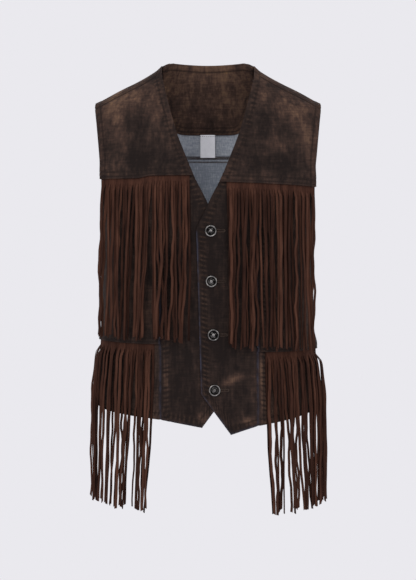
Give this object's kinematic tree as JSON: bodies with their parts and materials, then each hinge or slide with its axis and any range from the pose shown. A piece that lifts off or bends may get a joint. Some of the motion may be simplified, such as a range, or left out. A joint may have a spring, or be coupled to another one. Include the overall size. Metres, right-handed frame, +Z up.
{
  "type": "fringed gilet",
  "caption": "Hollow western-style gilet of coated brown denim with a V neck, lapped buttoned front, pointed hem and long suede fringes at yoke and waist.",
  "frame": {"origin": "between the shoulders, at the height of the middle of the shoulder line, where the wearer carries it", "axes": "+Z up, the wearer faces -Y, +X towards the wearer's left"},
  "size_m": [0.39, 0.2163, 0.7385],
  "materials": {
    "coated_denim": "coated, worn, suede-like",
    "suede": "brushed suede",
    "label_cloth": "woven satin",
    "button_metal": "polished, slightly aged"
  },
  "bodies": {
    "root": {"back_yoke": "coated_denim", "back": "coated_denim", "front_yoke_left": "coated_denim", "front_centre_left": "coated_denim", "front_side_left": "coated_denim", "front_skirt_left": "coated_denim", "front_yoke_right": "coated_denim", "front_centre_right": "coated_denim", "front_side_right": "coated_denim", "front_skirt_right": "coated_denim", "back_neck_facing": "coated_denim", "fringe_upper_left": "suede", "fringe_upper_right": "suede", "fringe_lower_left": "suede", "fringe_lower_right": "suede", "neck_label": "label_cloth", "button_1": "button_metal", "button_2": "button_metal", "button_3": "button_metal", "button_4": "button_metal"}
  },
  "joints": []
}
